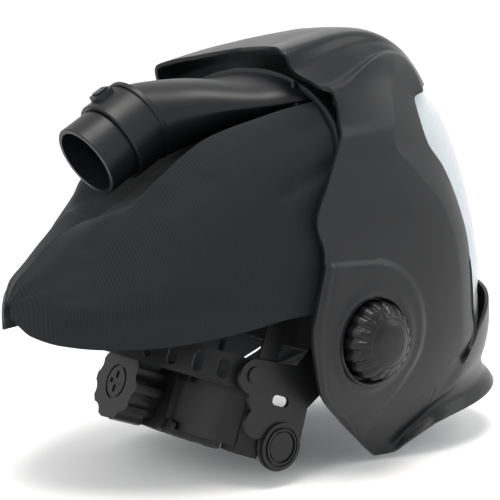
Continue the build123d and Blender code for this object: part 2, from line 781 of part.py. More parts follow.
def make_latch():
    with BuildPart() as latch_button:
        with BuildSketch(latch_plane(LATCH_SEAT + 3)):
            RectangleRounded(8, 10, 1.8)
        extrude(amount=LATCH_BUTTON_L)
        fillet(latch_button.faces().sort_by(Axis.Z)[-1].edges(), 0.5)
    save(latch_button, "latch_button")
    with BuildPart() as latch_spring:
        with BuildLine() as coil:
            Helix(pitch=1.0, height=LATCH_SPRING_L, radius=2.2, center=latch_plane(LATCH_SEAT).origin,
                  direction=latch_plane(0).z_dir)
        with BuildSketch(Plane(origin=coil.line @ 0, z_dir=coil.line % 0)):
            Circle(0.25)
        sweep(is_frenet=True)
    save(latch_spring, "latch_spring")


def hood_form(inset, drop):
    """The hood's outer form, set in, with its underside lowered."""
    with BuildPart() as form:
        for y, half_width, shoulder, middle, bottom in HOOD_STATIONS:
            low = bottom - drop
            if y == HOOD_STATIONS[-1][0]:
                y = y - inset
            with BuildSketch(Plane(origin=(0, y, 0), x_dir=(1, 0, 0), z_dir=(0, -1, 0))):
                with BuildLine():
                    wide = half_width - inset
                    top = shoulder - inset
                    waist = bottom + 0.5 * (top - bottom)
                    Spline((-wide, low), (-0.96 * wide, waist), (-0.6 * wide, top),
                           (0, middle - inset), (0.6 * wide, top), (0.96 * wide, waist),
                           (wide, low), tangents=[(0, 1), (0, -1)])
                    Line((wide, low), (-wide, low))
                make_face()
        loft(ruled=True)
    return form.part


def make_hood():
    with BuildPart() as hood:
        add(hood_form(0, 0))
        add(hood_form(HOOD_T, HOOD_OPEN), mode=Mode.SUBTRACT)
    save(hood, "hood")
    with BuildPart() as hood_hem:
        add(hood_form(HOOD_T + 0.3, HOOD_OPEN))
        add(hood_form(HOOD_T + 2, HOOD_OPEN), mode=Mode.SUBTRACT)
        add(side_cut(HEM_OUTLINE), mode=Mode.INTERSECT)
    save(hood_hem, "hood_hem")


make_shell()
make_visor()
make_chin()
make_seal_frame()
make_forehead()
make_occipital()
make_crown_straps()
for hand, hand_name in ((-1, "right"), (1, "left")):
    make_side_plate(hand, hand_name)
    make_carriage(hand, hand_name)
    make_knob(hand, hand_name)
make_nape()
make_pinion()
make_rack(1, "rack_upper")
make_rack(-1, "rack_lower")
make_strap_clips()
make_duct()
make_outlet()
make_swivel()
make_latch()
make_hood()
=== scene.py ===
import math

import bpy
import numpy as np
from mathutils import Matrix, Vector


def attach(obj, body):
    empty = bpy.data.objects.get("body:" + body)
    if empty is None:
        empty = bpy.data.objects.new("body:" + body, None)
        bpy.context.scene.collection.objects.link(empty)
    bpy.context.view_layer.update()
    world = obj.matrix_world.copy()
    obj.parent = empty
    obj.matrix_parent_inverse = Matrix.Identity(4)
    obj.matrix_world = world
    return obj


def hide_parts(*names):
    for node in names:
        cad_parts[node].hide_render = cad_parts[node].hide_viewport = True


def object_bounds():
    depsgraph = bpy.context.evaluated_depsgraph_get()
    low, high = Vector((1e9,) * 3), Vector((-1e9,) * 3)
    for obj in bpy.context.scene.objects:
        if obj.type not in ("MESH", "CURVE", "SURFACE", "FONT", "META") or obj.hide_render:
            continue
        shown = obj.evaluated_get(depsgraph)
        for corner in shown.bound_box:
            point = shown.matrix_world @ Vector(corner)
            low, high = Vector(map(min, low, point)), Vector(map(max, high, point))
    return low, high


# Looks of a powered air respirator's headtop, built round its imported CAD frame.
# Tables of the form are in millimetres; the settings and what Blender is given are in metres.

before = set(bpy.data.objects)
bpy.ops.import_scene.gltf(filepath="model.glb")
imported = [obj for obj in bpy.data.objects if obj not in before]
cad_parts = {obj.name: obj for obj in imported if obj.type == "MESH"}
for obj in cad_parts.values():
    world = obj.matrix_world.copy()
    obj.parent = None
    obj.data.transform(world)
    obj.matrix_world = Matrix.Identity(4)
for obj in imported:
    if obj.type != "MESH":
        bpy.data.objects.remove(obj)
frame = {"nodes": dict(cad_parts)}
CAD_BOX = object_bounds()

bl_info = {
    "name": "Respirator Headtop",
    "version": (1, 0, 0),
    "blender": (4, 5, 0),
    "location": "3D View > Sidebar > Respirator",
    "description": "Models a powered air respirator's helmet, visor, hood, duct and headgear",
    "category": "Add Mesh",
}

MM = 0.001

# ---------------------------------------------------------------- the helmet's form, in mm
# (height, half width, front at the middle, front half length)
FORM_LEVELS = np.array([
    (-158, 84, -196, 110), (-134, 94, -214, 140), (-112, 103, -221, 150), (-90, 111, -213, 148),
    (-62, 117, -214, 150), (-20, 119, -207, 148), (30, 119, -194, 146), (75, 118, -176, 146),
    (120, 118, -146, 146), (185, 118, -86, 146),
], float)
FORM_POWER = 2.4
CROWN_AXIS = (-45.0, 10.0)
CROWN_PROFILE = np.array([(0, 164.2), (45, 160.5), (80, 149), (100, 131), (112, 110), (119, 85)],
                         float)
BROW_ROUND = 34.0         # the higher, the tighter the rounding from crown to front
CROWN_BLEND = (55.0, 95.0)

# Rows of the shell from the middle of the crown down to the cheek. Each has its place at the
# rear edge, part way, at the line where the window's bevel starts, and at the front edge.
SHELL_ROWS = [
    # cells to the next row, height of the relief, then (X, Y, Z) four times
    (14, 0.0, (0, 9.4, 153.0), (0, -45, 170.5), (0, -92, 167), (0, -131, 127)),
    (14, 0.0, (-45, 18, 150), (-46, -35, 166.5), (-47, -85, 163.5), (-50, -122, 127)),
    (5, 0.9, (-80, 33.0, 142.7), (-80, -15, 157), (-77, -65, 158.5), (-80, -103, 126)),
    (7, -3.4, (-88, 30.5, 133), (-87.3, -12, 149.6), (-83.5, -58, 155), (-90, -94.5, 125.5)),
    (4, -3.4, (-101, 18, 122), (-98, -22, 138), (-91, -60, 149), (-97, -86, 122.5)),
    (7, 1.2, (-106, 12.3, 117), (-104, -17, 131), (-96, -57, 145), (-104, -79, 119)),
    (7, 0.0, (-113, 11, 104), (-114.5, -14, 106), (-114, -37.5, 110), (-111.5, -65, 114)),
    (12, 0.0, (-116, 12, 88), (-117, -10, 85), (-117.7, -36, 84), (-113.7, -76, 83)),
    (12, 0.0, (-117.5, 24, 56), (-118, -14, 61), (-117.5, -55, 65), (-111.5, -96, 65)),
    (10, 0.0, (-118.3, 35, 28), (-118.5, -25, 32), (-116, -88, 37), (-109.6, -116, 36)),
    (18, 0.0, (-118.9, 27.5, 3.5), (-118.9, -40, 3.5), (-114.5, -107, 3), (-108.3, -129, 4)),
    (14, 0.0, (-118, 37, -46), (-118, -40, -44), (-113.7, -113.8, -42), (-109.3, -131.5, -45)),
    (12, 0.0, (-112, 26, -86), (-113, -40, -80), (-111, -118, -70), (-107.3, -138, -63)),
    (8, 0.0, (-102, -2, -114), (-106, -50, -104), (-107, -90, -96), (-107, -112, -91)),
    (4, 0.0, (-95, -24, -131), (-97, -35, -125), (-100, -46, -118.5), (-102, -57, -114)),
    (0, 0.0, (-94.6, -26, -131.8), (-95, -28, -130.6), (-95.3, -30, -129.5),
     (-95.6, -32, -128.3)),
]
ROW_STOPS = np.array([0.0, 0.35, 0.7, 1.0])
UPPER_ROWS = 6            # rows whose own height counts, and not the form's
SHELL_COLUMNS = 88
BEVEL_DEPTH = 5.5         # how far the window's bevel falls away at the visor
BEVEL_ADVANCE = 0.76      # how far the bevelled edge runs on towards the front, per mm of depth
BEVEL_ROWS = (6, 12)      # first and last row that has the full bevel
RELIEF_FADE = (0.5, 0.82)

# Side boss round the pivot, in the side view
BOSS_CENTRE = (-15.0, -53.0)
BOSS_R = 55.0
BOSS_HEIGHT = 2.0
BOSS_SOFT = 3.4
BOSS_SECTOR = (90.0, 211.6)
PIVOT = (-18.4, -55.2)
RECESS_R = 30.1
RECESS_FLOOR = 112.0
# Lining of the recess, as (radius, distance out from 3 mm under the floor)
RECESS_CUP = [(7.2, 0), (7.2, 3), (29.4, 3), (30.2, 3.8), (30.2, 10.6), (31.2, 11.2), (32.6, 10.4),
              (32.6, 0), (7.2, 0)]

# Chin guard: top and bottom edges from the cheek to the middle of the front, as (X, Y, Z)
CHIN_TOP = np.array([
    (-94.8, -24.8, -131.4), (-100, -43, -119.9), (-103, -66, -111.3), (-105.6, -89, -103.7),
    (-107.8, -109, -92.3), (-106.5, -127, -82), (-104, -143, -64), (-94, -160, -48),
    (-72, -186, -36), (-38, -202, -29), (0, -208, -27),
], float)
CHIN_BOTTOM = np.array([
    (-94, -28, -134), (-91, -42, -144.5), (-88.5, -54, -151), (-87, -64, -150.5),
    (-90, -74, -143), (-95.7, -100, -128.5), (-94, -122, -124.5), (-88, -150, -121),
    (-70, -185, -116), (-38, -212, -112), (0, -222, -111),
], float)
CHIN_FLARE = 11.0
CHIN_LAP = 1.3            # how far the cheeks sit inside the shell's lower edge

VISOR_SIDE_INSET = 9.2
VISOR_FRONT_INSET = 1.2
VISOR_TUCK = 9.0          # how far the visor goes in under the brow and behind the chin guard
VISOR_HEIGHTS = (-76.0, 128.0)
VISOR_LAP = 8.0

# Hood: Y, then (X, Z) at six places from the middle of the top to the lower edge
HOOD_STATIONS = [
    (5, (0, 97), (45, 99), (84, 111), (101, 99), (112, 74), (112.5, -32)),
    (45, (0, 81), (40, 86), (78, 100), (97, 86), (108, 50), (108, -35)),
    (80, (0, 64), (34, 70), (62, 86), (86, 67), (101, 30), (103, -41)),
    (112, (0, 42), (31, 49), (52, 59), (74, 42), (91, 8), (95, -46)),
    (140, (0, 31), (28, 34), (45, 28), (63, 11), (78, -14), (82, -49)),
    (165, (0, 18), (23, 13), (40, -2), (52, -16), (60, -30), (62, -50)),
    (185, (0, -1), (15, -5), (28, -12), (36, -20), (41, -29), (42, -48)),
    (195, (0, -11), (8, -14), (14, -18), (18, -23), (21, -31), (22, -44)),
    (201, (0, -23), (2, -23.5), (3, -24.5), (4, -26), (5, -28), (5, -34)),
]
HOOD_STOPS = np.array([0.0, 0.18, 0.38, 0.58, 0.78, 1.0])
# Folds in the side view: start, end, width, and height
HOOD_FOLDS = [
    ((18, 66), (52, 50), 6.0, -3.4), ((50, 50), (58, 26), 6.0, -2.2),
    ((120, 48), (158, 12), 4.0, -1.6), ((96, 56), (134, 34), 6.0, -2.0),
    ((96, -22), (178, -36), 6.0, -1.4), ((40, 6), (150, -16), 12.0, 1.3),
]

# Air duct: (Y, Z, how far the section leans, half width, top, bottom, sharpness of the crease)
DUCT_STATIONS = np.array([
    (-50, 114, 0.0, 82, 12, 12, 2.0), (-8, 112, 0.0, 80, 14, 13, 2.0),
    (12, 111, 0.0, 79, 22.5, 15, 1.6), (35, 107, 0.06, 66, 22, 17, 1.45),
    (58, 104, 0.2, 50, 24.5, 22, 1.5), (76, 101, 0.36, 38, 26.5, 26, 1.75),
    (101.5, 95.2, 0.60, 29.8, 29.8, 29.8, 2.0),
], float)
SPIGOT_END = (0, 141.2, 68.1)
SPIGOT_OUT = (0, 0.8261, -0.5635)
RING_ALONG = 53.2         # foot of the ring round the duct's end, measured in from the spigot's
RING_PROFILE = [(27.2, 0), (30.4, 0), (31.4, 0.6), (31.4, 3.6), (30.4, 4.4), (27.2, 4.4),
                (27.2, 0)]

# Half of the arch that the hood hangs from, as (X, Z)
SEAL_ARCH = np.array([
    (0, 135.5), (-30, 133), (-60, 126), (-78, 118), (-90, 111), (-101, 101), (-109, 90),
    (-112.6, 78), (-114.2, 60), (-114.8, 30), (-114.8, 6),
], float)
SEAL_Y = 12.0
# Section of the seal's flange, as (out from the arch, along Y)
SEAL_SECTION = np.array([
    (-2.2, 1.5), (-2.2, -14), (0, -14), (0, -2.2), (2.6, -2.2), (2.6, 1.5), (-2.2, 1.5),
])


# ---------------------------------------------------------------- curves and the form
def smooth_through(knots, values, at):
    """A smooth curve through points, without overshoot at flat stretches."""
    knots = np.asarray(knots, float)
    values = np.asarray(values, float)
    slopes = np.diff(values, axis=0) / np.diff(knots).reshape((-1,) + (1,) * (values.ndim - 1))
    tangents = np.zeros_like(values)
    tangents[0] = slopes[0]
    tangents[-1] = slopes[-1]
    product = slopes[:-1] * slopes[1:]
    total = slopes[:-1] + slopes[1:]
    safe = np.where(np.abs(total) < 1e-9, 1.0, total)
    tangents[1:-1] = np.where(product > 0, 2 * product / safe, 0.0)
    at = np.clip(at, knots[0], knots[-1])
    index = np.clip(np.searchsorted(knots, at, side="right") - 1, 0, len(knots) - 2)
    span = knots[index + 1] - knots[index]
    part = (at - knots[index]) / span
    if values.ndim > 1:
        part = part[:, None]
        span = span[:, None]
    return cubic(values, tangents, index, span, part)


def cubic(values, slopes, index, span, part):
    """The cubic through two neighbouring values with their slopes."""
    return (values[index] * (2 * part ** 3 - 3 * part ** 2 + 1)
            + values[index + 1] * (3 * part ** 2 - 2 * part ** 3)
            + slopes[index] * span * (part ** 3 - 2 * part ** 2 + part)
            + slopes[index + 1] * span * (part ** 3 - part ** 2))


def ease(low, high, value):
    """0 below low, 1 above high and a smooth step between."""
    part = np.clip((value - low) / (high - low), 0.0, 1.0)
    return part * part * (3 - 2 * part)


def level_sizes(height):
    """Half width, front and front half length of the form at a height."""
    return smooth_through(FORM_LEVELS[:, 0], FORM_LEVELS[:, 1:], height).T


def form_value(x, y, z):
    """Under 1 inside the helmet's form, over 1 outside."""
    wide, front, length = level_sizes(z)
    ahead = np.maximum(0.0, (front + length - y) / length)
    body = ((np.abs(x) / wide) ** FORM_POWER + ahead ** FORM_POWER) ** (1 / FORM_POWER)
    reach = np.hypot(y - CROWN_AXIS[0], z - CROWN_AXIS[1])
    limit = smooth_through(CROWN_PROFILE[:, 0], CROWN_PROFILE[:, 1],
                           np.minimum(np.abs(x), CROWN_PROFILE[-1, 0]))
    crown = reach / limit * ease(CROWN_BLEND[0], CROWN_BLEND[1], z)
    return (body ** BROW_ROUND + crown ** BROW_ROUND) ** (1 / BROW_ROUND)


def meet_form(spot, like, far_end):
    """Points where rays leave the form: spot gives the points at a distance along them."""
    near = np.full_like(like, 20.0)
    far = np.full_like(like, far_end)
    for _ in range(34):
        middle = (near + far) / 2
        inside = form_value(*spot(middle)) < 1
        near = np.where(inside, middle, near)
        far = np.where(inside, far, middle)
    return np.stack(spot(near), axis=1)


def on_form(y, turn):
    """Points of the form at a Y and an angle up from the side."""
    ray_x = -np.cos(turn)
    ray_z = np.sin(turn)
    return meet_form(lambda reach: (reach * ray_x, y, reach * ray_z), y, 215.0)


def form_normal(points):
    """Outward unit normals of the form."""
    step = 0.6
    columns = []
    for axis in range(3):
        shift = np.zeros(3)
        shift[axis] = step
        ahead = points + shift
        behind = points - shift
        columns.append(form_value(*ahead.T) - form_value(*behind.T))
    normals = np.stack(columns, axis=1)
    return normals / np.linalg.norm(normals, axis=1)[:, None]


# ---------------------------------------------------------------- modelling helpers
def deselect():
    if bpy.context.object and bpy.context.object.mode != "OBJECT":
        bpy.ops.object.mode_set(mode="OBJECT")
    bpy.ops.object.select_all(action="DESELECT")


def choose(piece):
    deselect()
    piece.select_set(True)
    bpy.context.view_layer.objects.active = piece


def placed_grid(name, across, along, place):
    """A grid whose corners are set by place(u, v), which gives millimetres."""
    deselect()
    bpy.ops.mesh.primitive_grid_add(x_subdivisions=across, y_subdivisions=along, size=2)
    piece = bpy.context.object
    piece.name = name
    piece.data.name = name
    flat = np.empty(len(piece.data.vertices) * 3)
    piece.data.vertices.foreach_get("co", flat)
    flat = flat.reshape(-1, 3)
    points = place((flat[:, 0] + 1) / 2, (flat[:, 1] + 1) / 2)
    piece.data.vertices.foreach_set("co", (points * MM).ravel())
    piece.data.update()
    return piece


def modify(piece, kind, **settings):
    """Add a modifier, set it and apply it."""
    choose(piece)
    modifier = piece.modifiers.new(kind.title(), kind)
    for key, value in settings.items():
        setattr(modifier, key, value)
    bpy.ops.object.modifier_apply(modifier=modifier.name)


def face_out(piece):
    """Make the faces of an open sheet point away from the helmet's middle."""
    normals = np.empty(len(piece.data.polygons) * 3)
    centres = np.empty(len(piece.data.polygons) * 3)
    piece.data.polygons.foreach_get("normal", normals)
    piece.data.polygons.foreach_get("center", centres)
    outward = centres.reshape(-1, 3) - np.array((0.0, -0.01, -0.01))
    if (normals.reshape(-1, 3) * outward).sum() < 0:
        choose(piece)
        bpy.ops.object.mode_set(mode="EDIT")
        bpy.ops.mesh.select_all(action="SELECT")
        bpy.ops.mesh.flip_normals()
        bpy.ops.object.mode_set(mode="OBJECT")


def weld(piece, distance=0.00001, close=False):
    """Merge doubled points, close the open rims if asked, and turn the faces outwards."""
    choose(piece)
    bpy.ops.object.mode_set(mode="EDIT")
    bpy.ops.mesh.select_all(action="SELECT")
    bpy.ops.mesh.remove_doubles(threshold=distance)
    if close:
        bpy.ops.mesh.select_all(action="DESELECT")
        bpy.ops.mesh.select_non_manifold()
        bpy.ops.mesh.edge_face_add()
        bpy.ops.mesh.select_all(action="SELECT")
    bpy.ops.mesh.normals_make_consistent(inside=False)
    bpy.ops.object.mode_set(mode="OBJECT")


def smooth(piece, angle):
    choose(piece)
    bpy.ops.object.shade_smooth_by_angle(angle=math.radians(angle))


def place_piece(piece, body, slot, material, *nodes):
    """Hand a finished piece to its body, with its finish and the nodes it stands for."""
    piece.data.materials.clear()
    piece.data.materials.append(material)
    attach(piece, body)
    if nodes:
        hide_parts(*nodes)


# ---------------------------------------------------------------- shader maths
class Socket:
    """A node's output that takes part in sums."""

    def __init__(self, paint, link):
        self.paint = paint
        self.link = link

    def _math(self, operation, one, two):
        return self.paint.node("ShaderNodeMath", {"operation": operation}, {0: one, 1: two})

    def __add__(self, other):
        return self._math("ADD", self, other)

    __radd__ = __add__

    def __sub__(self, other):
        return self._math("SUBTRACT", self, other)

    def __rsub__(self, other):
        return self._math("SUBTRACT", other, self)

    def __mul__(self, other):
        return self._math("MULTIPLY", self, other)

    __rmul__ = __mul__


class Paint:
    """A material's node tree, with one way to make a node."""

    def __init__(self, name):
        self.material = bpy.data.materials.new(name)
        self.material.use_nodes = True
        self.tree = self.material.node_tree
        self.tree.nodes.clear()

    def node(self, kind, settings=None, inputs=None, output=0):
        made = self.tree.nodes.new(kind)
        for key, value in (settings or {}).items():
            setattr(made, key, value)
        for key, value in (inputs or {}).items():
            if isinstance(value, Socket):
                self.tree.links.new(value.link, made.inputs[key])
            else:
                made.inputs[key].default_value = value
        return Socket(self, made.outputs[output])

    def place(self, scale=(1, 1, 1)):
        """Object coordinates, scaled."""
        spot = self.node("ShaderNodeTexCoord", output="Object")
        return self.node("ShaderNodeMapping", None, {"Vector": spot, "Scale": scale})

    def noise(self, scale, detail=3.0, roughness=0.55, stretch=(1, 1, 1)):
        return self.node("ShaderNodeTexNoise", None, {
            "Vector": self.place(stretch), "Scale": scale, "Detail": detail,
            "Roughness": roughness})

    def blend(self, amount, dark, light):
        return self.node("ShaderNodeMix", {"data_type": "RGBA"}, {
            "Factor": amount, "A": (*dark, 1), "B": (*light, 1)}, output="Result")

    def bump(self, height, strength, distance):
        return self.node("ShaderNodeBump", None, {
            "Height": height, "Strength": strength, "Distance": distance})

    def surface(self, **inputs):
        """The main shader, wired to the output."""
        named = {key.replace("_", " ").title().replace("Ior", "IOR"): value
                 for key, value in inputs.items()}
        shader = self.node("ShaderNodeBsdfPrincipled", None, named)
        self.output(shader)
        return self.material

    def output(self, shader):
        end = self.tree.nodes.new("ShaderNodeOutputMaterial")
        self.tree.links.new(shader.link, end.inputs["Surface"])


def tinted(colour, factor):
    return tuple(channel * factor for channel in colour)


def moulded_plastic(name, colour, rough):
    """Black moulded plastic: fine spark-eroded grain, and handling marks in the gloss."""
    paint = Paint(name)
    fine = paint.noise(1800.0, 2.0, 0.6)
    broad = paint.noise(38.0, 4.0, 0.6)
    return paint.surface(
        base_color=paint.blend(broad, tinted(colour, 0.85), tinted(colour, 1.2)),
        roughness=(broad - 0.5) * 0.16 + fine * 0.06 + (rough - 0.03),
        specular_ior_level=0.26,
        normal=paint.bump(fine, 0.5, 0.00006))


def rubber(name, colour):
    paint = Paint(name)
    fine = paint.noise(900.0, 3.0)
    return paint.surface(
        base_color=paint.blend(fine, tinted(colour, 0.8), tinted(colour, 1.25)),
        roughness=fine * 0.15 + 0.62,
        normal=paint.bump(fine, 0.35, 0.0001))


def hood_cloth(name, colour):
    """Coated fabric with fine upright ribs and a cross weave."""
    paint = Paint(name)
    spot = paint.node("ShaderNodeTexCoord", output="Object")
    parts = paint.node("ShaderNodeSeparateXYZ", None, {"Vector": spot}, output="Y")
    drift = paint.noise(26.0, 2.0)
    rib = paint.node("ShaderNodeMath", {"operation": "SINE"},
                     {0: (parts + drift * 0.003) * (2 * math.pi / 0.0016)})
    ribs = rib * 0.5 + 0.5
    weave = paint.noise(1500.0, 2.0)
    soft = paint.noise(12.0, 4.0)
    height = ribs * 0.7 + weave * 0.5
    return paint.surface(
        base_color=paint.blend(soft * 0.5 + ribs * 0.3 + weave * 0.2, tinted(colour, 0.72),
                               tinted(colour, 1.3)),
        roughness=0.80 - ribs * 0.1,
        specular_ior_level=0.16,
        sheen_weight=0.04,
        sheen_roughness=0.4,
        normal=paint.bump(height, 0.5, 0.00022))


def pad_cloth(name, colour):
    paint = Paint(name)
    knit = paint.node("ShaderNodeTexVoronoi", None, {"Vector": paint.place(), "Scale": 900.0})
    soft = paint.noise(60.0, 3.0)
    return paint.surface(
        base_color=paint.blend(soft * 0.6 + knit * 0.4, tinted(colour, 0.7), tinted(colour, 1.4)),
        roughness=soft * 0.1 + 0.85,
        sheen_weight=0.3,
        normal=paint.bump(knit, 0.6, 0.0004))


def clear_plastic(name, colour):
    """Hard clear sheet: see-through face on; at a glance it turns to an opaque light grey surface,
    a painted reflection, with real gloss on top.
    """
    paint = Paint(name)
    haze = paint.noise(30.0, 3.0)
    glance_painted_reflection = paint.node("ShaderNodeLayerWeight", None, {"Blend": 0.35}, output="Facing")
    through = paint.node("ShaderNodeBsdfTransparent", None, {"Color": (*colour, 1)})
    # The light grey base colour mixed in at glancing angles is a painted reflection; the low
    # roughness adds real gloss on top.
    gloss_and_painted_reflection = paint.node("ShaderNodeBsdfPrincipled", None, {
        "Base Color": (0.80, 0.83, 0.84, 1), "Roughness": 0.06})
    mixed = paint.node("ShaderNodeMixShader", None, {
        0: glance_painted_reflection * 0.55 + haze * 0.05 + 0.10, 1: through, 2: gloss_and_painted_reflection})
    paint.output(mixed)
    return paint.material


def metal(name, colour, rough):
    paint = Paint(name)
    turned = paint.noise(700.0, 2.0, 0.5, (1, 1, 6))
    return paint.surface(
        base_color=paint.blend(turned, tinted(colour, 0.85), tinted(colour, 1.1)),
        metallic=1.0,
        roughness=turned * 0.18 + rough,
        normal=paint.bump(turned, 0.2, 0.00005))


# ---------------------------------------------------------------- the shell
def shell_row_table():
    """Y, angle and share of the form's reach, for each row at its four stops."""
    table = np.array([row[2:] for row in SHELL_ROWS], float)
    turn = np.arctan2(table[:, :, 2], -table[:, :, 0])
    base = on_form(table[:, :, 1].ravel(), turn.ravel())
    reach = np.hypot(table[:, :, 0], table[:, :, 2])
    share = reach / np.hypot(base[:, 0], base[:, 2]).reshape(reach.shape)
    share[UPPER_ROWS:] = 1.0
    return table[:, :, 1], turn, share


def boss_reach(y, z):
    """How far inside the side boss a point of the side view lies."""
    dy = y - BOSS_CENTRE[0]
    dz = z - BOSS_CENTRE[1]
    around = np.degrees(np.arctan2(dz, dy)) % 360
    low, high = BOSS_SECTOR
    nearest = np.clip(around, low, high)
    beyond = (around > (low + high) / 2 + 180)
    nearest = np.where(beyond, low, nearest)
    return BOSS_R - np.hypot(dy, dz) * np.cos(np.radians(around - nearest))


def shell_surface(u, v):
    """Points of the shell's outer face: u over the crown from side to side, v from the rear."""
    cells = np.array([row[0] for row in SHELL_ROWS], float)
    starts = np.concatenate([[0.0], np.cumsum(cells[:-1])])
    half = starts[-1]
    place = (u * 2 - 1) * half
    row = np.interp(np.abs(place), starts, np.arange(len(SHELL_ROWS)))
    rows = np.arange(len(SHELL_ROWS))
    table_y, table_turn, table_share = shell_row_table()
    stops_y = smooth_through(rows, table_y, row)
    stops_turn = smooth_through(rows, table_turn, row)
    y = four_point(stops_y, v)
    turn = four_point(stops_turn, v)
    points = on_form(y, turn)
    normals = form_normal(points)
    share = four_point(smooth_through(rows, table_share, row), v)
    points[:, 0] *= share
    points[:, 2] *= share
    relief = np.interp(row, rows, [r[1] for r in SHELL_ROWS])
    soft = [np.interp(np.clip(row + shift, 0, rows[-1]), rows, [r[1] for r in SHELL_ROWS])
            for shift in (-0.13, 0.13)]
    lift = (relief * 0.5 + (soft[0] + soft[1]) * 0.25) * (1 - ease(*RELIEF_FADE, v))
    bevel = ease(BEVEL_ROWS[0] - 1.2, BEVEL_ROWS[0], row)
    bevel = bevel * (1 - ease(BEVEL_ROWS[1], BEVEL_ROWS[1] + 0.8, row))
    drop = BEVEL_DEPTH * bevel * np.clip((v - ROW_STOPS[2]) / (1 - ROW_STOPS[2]), 0, 1)
    lift = lift - drop
    points[:, 1] -= BEVEL_ADVANCE * drop
    inside_boss = boss_reach(points[:, 1], points[:, 2])
    side = ease(60.0, 90.0, np.abs(points[:, 0]))
    lift = lift + BOSS_HEIGHT * ease(0.0, BOSS_SOFT, inside_boss) * side
    around = np.hypot(points[:, 1] - PIVOT[0], points[:, 2] - PIVOT[1])
    lift = lift + 1.3 * np.exp(-((around - RECESS_R - 4.5) / 3.0) ** 2) * side
    rear_gap = v * (table_y[9, 0] - table_y[9, 3])
    low_rows = ease(9.6, 10.4, row)
    lift = lift - 1.2 * (1 - ease(2.6, 3.8, rear_gap)) * low_rows
    lift = lift - 0.7 * np.exp(-((rear_gap - 7.5) / 0.8) ** 2) * low_rows
    points = points + normals * lift[:, None]
    points[:, 0] = points[:, 0] * np.where(place > 0, -1.0, 1.0)
    return points


def four_point(stops, v):
    """A smooth path through each row's four stops."""
    result = np.zeros_like(v)
    for index in range(4):
        weight = np.ones_like(v)
        for other in range(4):
            if other != index:
                weight *= (v - ROW_STOPS[other]) / (ROW_STOPS[index] - ROW_STOPS[other])
        result += stops[:, index] * weight
    return result


def make_cutter(radius, depth, centre):
    """A round cutter along X, in millimetres."""
    deselect()
    bpy.ops.mesh.primitive_cylinder_add(
        vertices=96, radius=radius * MM, depth=depth * MM, rotation=(0, math.pi / 2, 0),
        location=tuple(value * MM for value in centre))
    piece = bpy.context.object
    bpy.ops.object.transform_apply(location=True, rotation=True, scale=True)
    return piece


def lathe(name, profile, centre, direction, steps=96):
    """A solid of revolution from (radius, along) points, in mm, about an axis."""
    deselect()
    bpy.ops.mesh.primitive_grid_add(x_subdivisions=steps, y_subdivisions=len(profile) - 1, size=2)
    piece = bpy.context.object
    piece.name = name
    piece.data.name = name
    flat = np.empty(len(piece.data.vertices) * 3)
    piece.data.vertices.foreach_get("co", flat)
    flat = flat.reshape(-1, 3)
    turn = (flat[:, 0] + 1) * math.pi
    step = np.round((flat[:, 1] + 1) / 2 * (len(profile) - 1)).astype(int)
    radius = np.array(profile)[step, 0]
    along = np.array(profile)[step, 1]
    axis = Vector(direction).normalized()
    side = axis.orthogonal().normalized()
    up = axis.cross(side)
    points = (np.outer(radius * np.cos(turn), side) + np.outer(radius * np.sin(turn), up)
              + np.outer(along, axis) + np.array(centre))
    piece.data.vertices.foreach_set("co", (points * MM).ravel())
    weld(piece)
    return piece


def join(first, *others):
    deselect()
    for other in others:
        other.select_set(True)
    first.select_set(True)
    bpy.context.view_layer.objects.active = first
    bpy.ops.object.join()


def build_shell(material):
    half = sum(row[0] for row in SHELL_ROWS)
    shell = placed_grid("shell", 2 * half, SHELL_COLUMNS, shell_surface)
    face_out(shell)
    modify(shell, "SOLIDIFY", thickness=sizes().shell_wall, offset=-1, use_even_offset=False)
    for side in (-1, 1):
        cutter = make_cutter(RECESS_R, 40, (side * 118, *PIVOT))
        modify(shell, "BOOLEAN", object=cutter, operation="DIFFERENCE", solver="EXACT")
        bpy.data.objects.remove(cutter)
    modify(shell, "BEVEL", width=0.0007, segments=2, limit_method="ANGLE",
           angle_limit=math.radians(50))
    for side in (-1, 1):
        cup = lathe("cup", RECESS_CUP, (side * (RECESS_FLOOR - 3), *PIVOT), (side, 0, 0))
        join(shell, cup)
    smooth(shell, 32)
    place_piece(shell, "helmet", "shell_black", material, "helmet_shell")


# ---------------------------------------------------------------- chin guard and visor
def chin_surface(u, v):
    """u from the right cheek round the front to the left cheek, v from the top edge down."""
    place = np.abs(u * 2 - 1)
    knots = np.linspace(1.0, 0.0, len(CHIN_TOP))[::-1]
    top = smooth_through(knots, CHIN_TOP[::-1], place)
    low = smooth_through(knots, CHIN_BOTTOM[::-1], place)
    guess = top + (low - top) * v[:, None]
    middle_y = guess[:, 1] * 0.25 - 10
    reach = np.hypot(guess[:, 0], guess[:, 1] - middle_y)
    ray_x = guess[:, 0] / reach
    ray_y = (guess[:, 1] - middle_y) / reach
    points = meet_form(
        lambda away: (away * ray_x, middle_y + away * ray_y, guess[:, 2]), u, 260.0)
    normals = form_normal(points)
    normals[:, 2] *= 0.2
    front = ease(0.86, 0.45, place)
    waist = -1.6 * np.exp(-((v - 0.7) / 0.15) ** 2)
    flare = CHIN_FLARE * ease(0.78, 1.06, v) ** 1.4
    points = points + normals * ((waist + flare) * front)[:, None]
    lap = -CHIN_LAP * ease(0.45, 0.6, place)
    points = points + normals * lap[:, None]
    seam = np.exp(-((np.abs(points[:, 1]) - 95) / 0.7) ** 2) * (place > 0.5)
    points = points - normals * (0.5 * seam)[:, None]
    points[:, 0] = -np.abs(points[:, 0]) * np.where(u > 0.5, -1.0, 1.0)
    return points


def build_chin(material):
    chin = placed_grid("chin_guard_skin", 260, 40, chin_surface)
    face_out(chin)
    modify(chin, "SOLIDIFY", thickness=sizes().chin_wall, offset=-1, use_even_offset=False)
    modify(chin, "BEVEL", width=0.0007, segments=2, limit_method="ANGLE",
           angle_limit=math.radians(50))
    smooth(chin, 35)
    place_piece(chin, "helmet", "shell_black", material, "chin_guard", "chin_lip")


